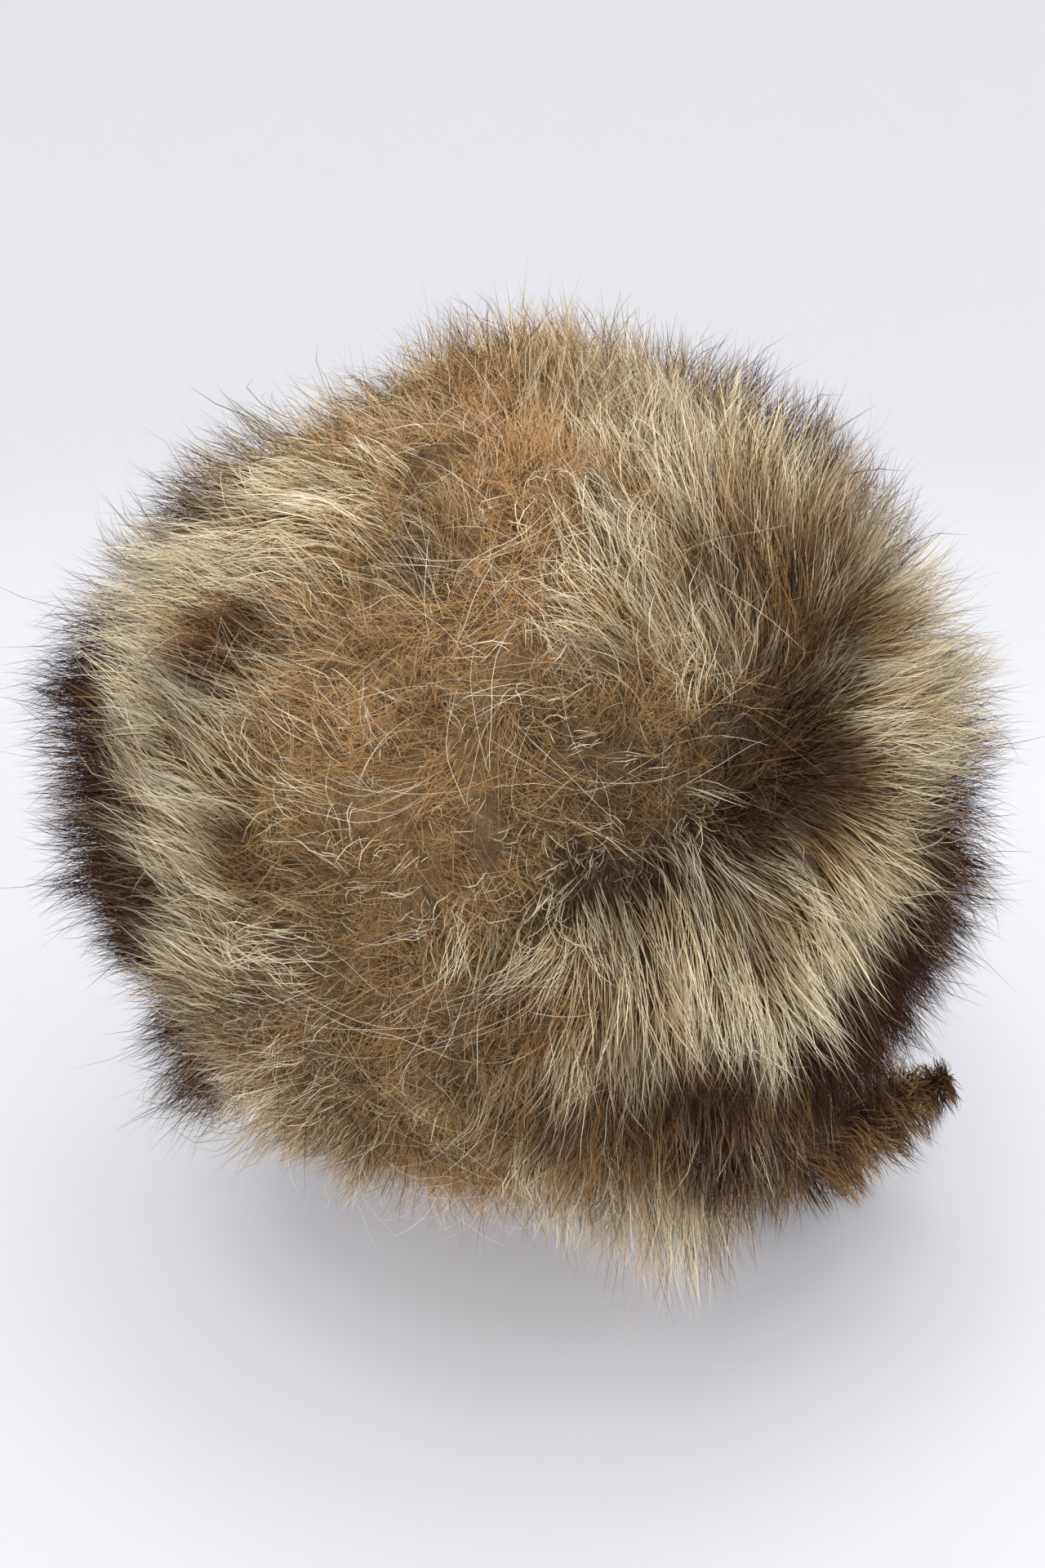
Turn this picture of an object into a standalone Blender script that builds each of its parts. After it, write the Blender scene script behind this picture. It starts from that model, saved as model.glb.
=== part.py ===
"""Fur hood: a sewn pelt, hollow and open at the face and the neck, with deep fur in four panels and a ringed tail.

Metres, +Z up, +Y the way the wearer faces, +X the wearer's right. The origin is the inside of the crown.
A place on the hood is an azimuth, turned from the back towards +X, and a level, from 0 at the crown to 1 at
the neck edge.
"""

import math
import random
from collections import namedtuple

import bmesh
import bpy
from mathutils import Vector

# Pelt
HOOD_HALF_WIDTH = 0.095
HOOD_BACK = 0.116
HOOD_FRONT = 0.104
NAPE_DROP = 0.178
CHEEK_DROP = 0.200
PELT_THICKNESS = 0.0025
SEAT_GAP = 0.0003
SEAM_GAP = 0.0008

# Fur
UNDERFUR_DEPTH = 0.022
LONGEST_HAIR = 0.088
HAIR_DROOP = 0.35
LOCK_LENGTH_SPREAD = 0.18
LOCK_LEAN = 0.8

# The hood's grid starts from a cube with this many cells along each side, its front and bottom left open.
CELLS = 8
NAPE_BAND_ROWS = 2
PARTING_LEVEL = 0.50

# Tail
TAIL_LENGTH = 0.175
TAIL_THICKNESS = 0.032
TAIL_ROOT_THICKNESS = 0.008
TAIL_HAIR = 0.009
TAIL_AZIMUTH = math.radians(116)
TAIL_ROOT_LEVEL = 0.93
TAIL_STATIONS = 15
TAIL_RINGS = 5
TAIL_RING_SWELL = 0.09
TAIL_BARE_STATIONS = 4
TAIL_HAIR_OUT = 0.55
TAIL_HAIR_ALONG = 0.75
TAIL_HAIR_SAG = 0.30
TAIL_HAIR_SPREAD = (0.8, 1.5)
TAIL_CLEARANCE = 0.009

# The pelt from the crown down: how far down it is and how far out, as shares of the drop and of the half widths.
Section = namedtuple("Section", "level drop spread")
SECTIONS = (
    Section(0.00, 0.000, 0.000),
    Section(0.12, 0.028, 0.345),
    Section(0.25, 0.115, 0.660),
    Section(0.40, 0.280, 0.895),
    Section(0.55, 0.460, 0.985),
    Section(0.70, 0.640, 1.000),
    Section(0.85, 0.820, 0.965),
    Section(1.00, 1.000, 0.905),
)

# The lie of the fur: where it is charted, the way it is combed, how much it stands up, and its length.
Lie = namedtuple("Lie", "name azimuth level right forward up stand length")
LIES = (
    Lie("crown", 0, 0.02, -0.05, 0.40, 0.00, 1.0, 0.088),
    Lie("crown left", -60, 0.22, -0.60, 0.20, 0.00, 1.0, 0.068),
    Lie("crown right", 55, 0.22, 0.20, 0.50, 0.20, 1.1, 0.086),
    Lie("back seam high", 0, 0.40, -0.15, 0.00, -0.10, 1.2, 0.054),
    Lie("back seam low", 0, 0.70, -0.15, 0.00, -0.45, 1.0, 0.050),
    Lie("nape", 0, 0.97, 0.00, 0.00, -0.80, 0.8, 0.032),
    Lie("left flank high", -75, 0.42, -0.35, 0.00, 0.05, 1.2, 0.080),
    Lie("left flank low", -75, 0.72, -0.50, 0.00, -0.25, 1.0, 0.076),
    Lie("left nape", -60, 0.97, -0.60, 0.00, -0.45, 0.8, 0.060),
    Lie("right flank high", 80, 0.42, 0.35, 0.15, 0.25, 1.2, 0.084),
    Lie("right flank low", 80, 0.65, 0.40, -0.05, -0.40, 1.1, 0.082),
    Lie("right back", 35, 0.62, 0.45, -0.10, -0.45, 0.9, 0.062),
    Lie("right nape", 40, 0.97, 0.10, 0.00, -0.85, 0.8, 0.062),
    Lie("right nape end", 85, 0.97, 0.45, 0.00, -0.40, 0.9, 0.052),
    Lie("left cheek", -130, 0.70, -0.20, 0.35, -0.25, 1.0, 0.060),
    Lie("right cheek", 130, 0.70, 0.20, 0.35, -0.25, 1.0, 0.060),
    Lie("forehead", 180, 0.28, 0.00, 0.60, 0.10, 1.0, 0.062),
)
LIE_REACH = 0.03

# A lock's rings above the underfur: how far along the lock they are and how wide, as a share of its cell.
LOCK_RINGS = ((0.34, 0.76), (0.70, 0.44), (1.00, 0.07))

# The tail's route from its root: steps in the row's axes, as shares of its length, and its thickness there.
Bend = namedtuple("Bend", "name right forward up thickness")
TAIL_BENDS = (
    Bend("leaves the hem", 0.02, -0.04, -0.12, 0.30),
    Bend("swings out", 0.09, -0.20, -0.29, 0.80),
    Bend("lowest", 0.17, -0.34, -0.35, 1.00),
    Bend("full", 0.28, -0.29, -0.35, 1.00),
    Bend("narrows", 0.43, -0.22, -0.32, 0.70),
    Bend("tip", 0.57, -0.20, -0.26, 0.16),
)

LEATHER = ("pelt leather", (0.60, 0.47, 0.34), 0.8)
FUR_LEFT = ("fur of the left pelt", (0.42, 0.29, 0.17), 0.9)
FUR_RIGHT_UPPER = ("fur of the right pelt, above", (0.50, 0.36, 0.22), 0.9)
FUR_RIGHT_LOWER = ("fur of the right pelt, below", (0.36, 0.24, 0.15), 0.9)
FUR_BAND = ("fur of the neck band", (0.46, 0.33, 0.21), 0.9)
FUR_TAIL = ("fur of the tail", (0.30, 0.19, 0.11), 0.9)


def clear_scene():
    for item in list(bpy.data.objects):
        bpy.data.objects.remove(item, do_unlink=True)


def own_material(recipe):
    name, colour, roughness = recipe
    material = bpy.data.materials.new(name)
    material.use_nodes = True
    surface = material.node_tree.nodes["Principled BSDF"]
    surface.inputs["Base Color"].default_value = (*colour, 1)
    surface.inputs["Roughness"].default_value = roughness
    surface.inputs["Metallic"].default_value = 0
    return material


def finished_object(name, mesh, recipe, collection):
    """The bmesh as an object of the hood, its faces pointing out and split alike where panels face each other."""
    bmesh.ops.recalc_face_normals(mesh, faces=mesh.faces[:])
    bmesh.ops.triangulate(mesh, faces=mesh.faces[:], quad_method="SHORT_EDGE")
    data = bpy.data.meshes.new(name)
    mesh.to_mesh(data)
    mesh.free()
    data.materials.append(own_material(recipe))
    item = bpy.data.objects.new(name, data)
    collection.objects.link(item)
    return item


def curve_between(before, start, end, after, share):
    """A Catmull-Rom curve through start and end; works on numbers and on vectors."""
    return (
        start
        + (end - before) * (share / 2)
        + (before * 2 - start * 5 + end * 4 - after) * (share**2 / 2)
        + (start * 3 - before - end * 3 + after) * (share**3 / 2)
    )


def section_at(level):
    """The drop and spread shares at a level, even and odd about the crown so that the crown is round."""
    rows = [Section(-SECTIONS[1].level, SECTIONS[1].drop, -SECTIONS[1].spread), *SECTIONS]
    last, before_last = SECTIONS[-1], SECTIONS[-2]
    rows.append(Section(*(2 * a - b for a, b in zip(last, before_last))))
    index = 1
    while index < len(rows) - 3 and rows[index + 1].level < level:
        index += 1
    four = rows[index - 1 : index + 3]
    share = (level - four[1].level) / (four[2].level - four[1].level)
    drop = curve_between(*(row.drop for row in four), share)
    spread = curve_between(*(row.spread for row in four), share)
    return drop, spread


def inner_point(azimuth, level):
    """A point on the inside of the pelt."""
    drop, spread = section_at(level)
    turned = (1 - math.cos(azimuth)) / 2
    edge_drop = NAPE_DROP + (CHEEK_DROP - NAPE_DROP) * turned
    depth = HOOD_BACK if math.cos(azimuth) > 0 else HOOD_FRONT
    across = HOOD_HALF_WIDTH * spread * math.sin(azimuth)
    along = -depth * spread * math.cos(azimuth)
    return Vector((across, along, -edge_drop * drop))


def outward(azimuth, level):
    """The way out of the pelt, at right angles to it."""
    near_crown = 0.02
    step = 0.004
    if level < near_crown:
        return Vector((0, 0, 1))
    down = inner_point(azimuth, level + step) - inner_point(azimuth, level - step)
    around = inner_point(azimuth + step, level) - inner_point(azimuth - step, level)
    return around.cross(down).normalized() * -1


def lie_at(azimuth, level):
    """The comb direction, the stand and the length of the fur at a place, blended from the charted rows."""
    here = inner_point(azimuth, level)
    total = 0
    comb = Vector((0, 0, 0))
    stand = 0
    length = 0
    for row in LIES:
        there = inner_point(math.radians(row.azimuth), row.level)
        weight = 1 / ((here - there).length_squared + LIE_REACH**2) ** 2
        total += weight
        comb += Vector((row.right, row.forward, row.up)) * weight
        stand += row.stand * weight
        length += row.length * weight
    return comb / total, stand / total, length / total


def hair_point(azimuth, level, rise):
    """A point this far out along the hair that grows at a place. Longer hair droops more towards its comb."""
    comb, stand, _ = lie_at(azimuth, level)
    out = outward(azimuth, level)
    droop = HAIR_DROOP * rise / LONGEST_HAIR
    way = out * stand * (1 - droop) + comb * (1 + droop)
    root = inner_point(azimuth, level) + out * (PELT_THICKNESS + SEAT_GAP)
    return root + way.normalized() * rise


def place_of(corner):
    """The azimuth and the level of a point on the grid's cube, spaced evenly."""
    even = [math.tan(math.pi / 4 * share) for share in corner]
    azimuth = math.atan2(even[0], -even[1])
    polar = math.atan2(math.hypot(even[0], even[1]), even[2])
    edge_reach = 1 / max(abs(math.sin(azimuth)), abs(math.cos(azimuth)))
    return azimuth, polar / math.atan2(edge_reach, -1)


def open_cube_grid():
    """The cube's back, sides and top, cut in cells. Its open front is the face, its open bottom the neck."""
    mesh = bmesh.new()
    bmesh.ops.create_cube(mesh, size=2)
    bmesh.ops.subdivide_edges(mesh, edges=mesh.edges[:], cuts=CELLS - 1, use_grid_fill=True)
    open_sides = [face for face in mesh.faces if face.normal.y > 0.5 or face.normal.z < -0.5]
    bmesh.ops.delete(mesh, geom=open_sides, context="FACES")
    return mesh


def add_pelt_shell(collection):
    mesh = open_cube_grid()
    for vert in mesh.verts:
        vert.co = inner_point(*place_of(vert.co))
    shell = finished_object("pelt_shell", mesh, LEATHER, collection)
    wall = shell.modifiers.new("leather", "SOLIDIFY")
    wall.thickness = PELT_THICKNESS
    wall.offset = 1


def in_nape_band(centre):
    band_top = -1 + NAPE_BAND_ROWS * 2 / CELLS
    return abs(centre.z) < 1 and centre.z < band_top


def in_left_panel(centre):
    return not in_nape_band(centre) and centre.x < 0


def in_right_upper_panel(centre):
    return not in_nape_band(centre) and centre.x > 0 and place_of(centre)[1] < PARTING_LEVEL


def in_right_lower_panel(centre):
    return not in_nape_band(centre) and centre.x > 0 and place_of(centre)[1] >= PARTING_LEVEL


def open_seams(mesh):
    """Draws each edge of a panel in, so that it stays clear of the next panel."""
    cell_size = NAPE_DROP / CELLS
    inset = SEAM_GAP / 2 / cell_size * 2 / CELLS
    moves = {}
    for vert in mesh.verts:
        if vert.is_boundary:
            inside = middle_of([face.calc_center_median() for face in vert.link_faces])
            moves[vert] = (inside - vert.co).normalized() * inset * math.sqrt(2)
    for vert, move in moves.items():
        vert.co += move


def clear_length(azimuth, level, length, tail):
    """The length at which a lock stays clear of the tail."""
    steps = 12
    for step in range(1, steps + 1):
        reach = length * step / steps
        tip = hair_point(azimuth, level, reach)
        for point, radius in tail:
            if (tip - point).length < radius + TAIL_HAIR + TAIL_CLEARANCE:
                return max(reach - 2 * length / steps, length / steps)
    return length


def middle_of(points):
    return sum(points, Vector()) / len(points)


def raise_locks(mesh, faces, locks):
    """Draws each face out into a lock, ring by ring. A lock gives the corners of its column at a share of it."""
    mesh.faces.index_update()
    numbers = [face.index for face in faces]
    layer = mesh.faces.layers.int.new("lock")
    mesh.faces.ensure_lookup_table()
    current = [mesh.faces[number] for number in numbers]
    for index, face in enumerate(current):
        face[layer] = index
    for share, width in LOCK_RINGS:
        current = bmesh.ops.extrude_discrete_faces(mesh, faces=current)["faces"]
        for face in current:
            column, leans_to = locks[face[layer]]
            corners = column(share)
            middle = middle_of(corners)
            middle += (corners[leans_to] - middle) * (1 - width) * share * LOCK_LEAN
            for vert, corner in zip(face.verts, corners):
                vert.co = middle + (corner - middle) * width


def hair_column(places, length):
    """The corners of the column of hair that stands on a cell, at a share of the lock's length."""
    return lambda share: [
        hair_point(azimuth, level, UNDERFUR_DEPTH + (length - UNDERFUR_DEPTH) * share) for azimuth, level in places
    ]


def add_fur_panel(name, belongs, recipe, tail, collection):
    """A coat of underfur seated on the pelt, with locks of guard hair drawn out of it."""
    mesh = open_cube_grid()
    others = [face for face in mesh.faces if not belongs(face.calc_center_median())]
    bmesh.ops.delete(mesh, geom=others, context="FACES")
    open_seams(mesh)
    seated = set(mesh.verts)
    made = bmesh.ops.extrude_face_region(mesh, geom=mesh.faces[:], use_keep_orig=True)["geom"]
    tops = [item for item in made if isinstance(item, bmesh.types.BMFace)]
    chance = random.Random(name)
    locks = []
    for face in tops:
        azimuth, level = place_of(face.calc_center_median())
        full = lie_at(azimuth, level)[2] * (1 - LOCK_LENGTH_SPREAD * chance.random())
        length = clear_length(azimuth, level, full, tail)
        places = [place_of(vert.co) for vert in face.verts]
        locks.append((hair_column(places, length), chance.randrange(len(places))))
    for vert in mesh.verts:
        vert.co = hair_point(*place_of(vert.co), 0 if vert in seated else UNDERFUR_DEPTH)
    raise_locks(mesh, tops, locks)
    return finished_object(name, mesh, recipe, collection)


def tail_route():
    """The tail's stations from root to tip, each a point and a radius."""
    root_radius = TAIL_ROOT_THICKNESS / 2
    facet_depth = (NAPE_DROP / CELLS) ** 2 / (8 * HOOD_HALF_WIDTH)
    inside = root_radius + SEAT_GAP + facet_depth
    hem = []
    for level in (TAIL_ROOT_LEVEL, 1):
        point = inner_point(TAIL_AZIMUTH, level) - outward(TAIL_AZIMUTH, level) * inside
        hem.append((point, root_radius))
    edge = hem[-1][0]
    knots = list(hem)
    for bend in TAIL_BENDS:
        step = Vector((bend.right, bend.forward, bend.up)) * TAIL_LENGTH
        knots.append((edge + step, bend.thickness * TAIL_THICKNESS / 2))
    points = [knot[0] for knot in knots]
    points = [points[0] * 2 - points[1], *points, points[-1] * 2 - points[-2]]
    radii = [knots[0][1], *(knot[1] for knot in knots), knots[-1][1]]
    route = []
    spans = len(knots) - 1
    for station in range(TAIL_STATIONS + 1):
        along = spans * station / TAIL_STATIONS
        index = min(int(along), spans - 1)
        share = along - index
        point = curve_between(*points[index : index + 4], share)
        radius = curve_between(*radii[index : index + 4], share)
        route.append((point, max(radius, root_radius / 2)))
    return route


def tail_tube(route):
    """The tail's core as a tapered tube, as a closed bmesh."""
    curve = bpy.data.curves.new("tail core", "CURVE")
    curve.dimensions = "3D"
    curve.bevel_depth = 1
    curve.bevel_resolution = 2
    curve.use_fill_caps = True
    spline = curve.splines.new("POLY")
    spline.points.add(len(route) - 1)
    for index, (point, radius) in enumerate(route):
        spline.points[index].co = (*point, 1)
        furred = max(index - TAIL_BARE_STATIONS, 0) / (TAIL_STATIONS - TAIL_BARE_STATIONS)
        swell = TAIL_RING_SWELL * math.sin(furred * TAIL_RINGS * math.tau)
        spline.points[index].radius = radius * (1 + swell)
    core = bpy.data.objects.new("tail core", curve)
    bpy.context.scene.collection.objects.link(core)
    bpy.context.view_layer.update()
    evaluated = core.evaluated_get(bpy.context.evaluated_depsgraph_get())
    data = bpy.data.meshes.new_from_object(evaluated)
    mesh = bmesh.new()
    mesh.from_mesh(data)
    bmesh.ops.remove_doubles(mesh, verts=mesh.verts[:], dist=1e-5)
    bmesh.ops.recalc_face_normals(mesh, faces=mesh.faces[:])
    bpy.data.objects.remove(core, do_unlink=True)
    bpy.data.curves.remove(curve)
    return mesh


def tail_column(corners, step):
    return lambda share: [corner + step * share for corner in corners]


def add_tail(route, collection):
    """The tail: its core with hair drawn out towards the tip, thin where it leaves the hem."""
    mesh = tail_tube(route)
    sides = [face for face in mesh.faces if len(face.verts) == 4]
    furred = []
    locks = []
    chance = random.Random(5)
    for face in sides:
        centre = face.calc_center_median()
        station = min(range(len(route)), key=lambda i: (route[i][0] - centre).length)
        if station < TAIL_BARE_STATIONS:
            continue
        ahead = route[min(station + 1, len(route) - 1)][0] - route[station - 1][0]
        way = face.normal * TAIL_HAIR_OUT + ahead.normalized() * TAIL_HAIR_ALONG - Vector((0, 0, TAIL_HAIR_SAG))
        step = way * TAIL_HAIR * chance.uniform(*TAIL_HAIR_SPREAD)
        corners = [vert.co.copy() for vert in face.verts]
        furred.append(face)
        locks.append((tail_column(corners, step), chance.randrange(len(corners))))
    raise_locks(mesh, furred, locks)
    return finished_object("ringed_tail", mesh, FUR_TAIL, collection)


def build():
    clear_scene()
    collection = bpy.data.collections.new("fur hood")
    bpy.context.scene.collection.children.link(collection)
    route = tail_route()
    add_pelt_shell(collection)
    add_fur_panel("fur_left_panel", in_left_panel, FUR_LEFT, route, collection)
    add_fur_panel("fur_right_upper_panel", in_right_upper_panel, FUR_RIGHT_UPPER, route, collection)
    add_fur_panel("fur_right_lower_panel", in_right_lower_panel, FUR_RIGHT_LOWER, route, collection)
    add_fur_panel("fur_nape_band", in_nape_band, FUR_BAND, route, collection)
    add_tail(route, collection)


build()
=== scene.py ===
"""Looks of the fur hood: pelt, underfur, guard hair and the ringed tail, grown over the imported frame.

Metres, +Z up, +Y the way the wearer faces. A place on the hood is an azimuth, turned from the back towards +X,
and a level, from 0 at the crown to 1 at the neck edge.
"""

import math
from collections import namedtuple

import bpy
import numpy as np
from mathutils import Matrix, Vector, kdtree


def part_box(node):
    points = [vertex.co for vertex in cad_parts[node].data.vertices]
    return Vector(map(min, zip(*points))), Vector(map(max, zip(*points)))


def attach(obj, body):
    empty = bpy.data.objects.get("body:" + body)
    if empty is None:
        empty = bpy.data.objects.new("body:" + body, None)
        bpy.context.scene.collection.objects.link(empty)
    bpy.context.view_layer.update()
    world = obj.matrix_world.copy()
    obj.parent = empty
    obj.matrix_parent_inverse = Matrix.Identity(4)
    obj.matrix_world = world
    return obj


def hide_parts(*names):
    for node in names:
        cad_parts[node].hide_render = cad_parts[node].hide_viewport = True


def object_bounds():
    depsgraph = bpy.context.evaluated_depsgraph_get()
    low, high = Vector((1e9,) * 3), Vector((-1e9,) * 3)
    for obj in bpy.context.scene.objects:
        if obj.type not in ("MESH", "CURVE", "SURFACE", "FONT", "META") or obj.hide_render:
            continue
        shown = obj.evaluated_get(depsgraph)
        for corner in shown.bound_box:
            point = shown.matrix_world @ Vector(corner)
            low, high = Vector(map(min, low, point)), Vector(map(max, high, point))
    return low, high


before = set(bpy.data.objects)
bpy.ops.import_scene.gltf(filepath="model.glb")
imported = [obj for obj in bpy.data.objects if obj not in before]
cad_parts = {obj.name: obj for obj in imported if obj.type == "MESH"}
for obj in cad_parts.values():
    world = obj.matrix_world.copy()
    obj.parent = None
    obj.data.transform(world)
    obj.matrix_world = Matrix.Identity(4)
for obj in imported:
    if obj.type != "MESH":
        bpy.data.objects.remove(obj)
CAD_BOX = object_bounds()

# The photo's camera looks at the hood from behind and above.
VIEW_ELEVATION = math.radians(28)
VIEW_DISTANCE = 0.55
VIEW_LENS = 35
VIEW_SENSOR = 36
VIEW_TARGET = (0, 0, -0.102)
VIEW_RIGHT = np.array((1.0, 0.0, 0.0))
VIEW_UP = np.array((0.0, math.sin(VIEW_ELEVATION), math.cos(VIEW_ELEVATION)))
VIEW_AWAY = np.array((0.0, math.cos(VIEW_ELEVATION), -math.sin(VIEW_ELEVATION)))

TABLE_DROP = 0.297

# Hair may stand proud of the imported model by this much.
PROUD_SHARE = 0.03
PROUD_MARGIN = 0.0085
BOX_LOW, BOX_HIGH = (np.array(corner) for corner in CAD_BOX)
HAIR_LOW = BOX_LOW - (BOX_HIGH - BOX_LOW) * PROUD_SHARE - PROUD_MARGIN
HAIR_HIGH = BOX_HIGH + (BOX_HIGH - BOX_LOW) * PROUD_SHARE + PROUD_MARGIN

# The pelt's sizes, read from the frame.
SHELL_LOW, SHELL_HIGH = (np.array(corner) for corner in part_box("pelt_shell"))
PELT_THICKNESS = SHELL_HIGH[2]
HOOD_HALF_WIDTH = (SHELL_HIGH[0] - SHELL_LOW[0]) / 2 - PELT_THICKNESS
HOOD_BACK = -SHELL_LOW[1] - PELT_THICKNESS
HOOD_FRONT = 0.104
NAPE_DROP = 0.178
CHEEK_DROP = 0.200
SEAT_GAP = 0.0003
BAND_TOP = -0.5
PARTING_LEVEL = 0.50

Section = namedtuple("Section", "level drop spread")
SECTIONS = (
    Section(-0.12, 0.028, -0.345),
    Section(0.00, 0.000, 0.000),
    Section(0.12, 0.028, 0.345),
    Section(0.25, 0.115, 0.660),
    Section(0.40, 0.280, 0.895),
    Section(0.55, 0.460, 0.985),
    Section(0.70, 0.640, 1.000),
    Section(0.85, 0.820, 0.965),
    Section(1.00, 1.000, 0.905),
    Section(1.15, 1.180, 0.845),
)

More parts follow.
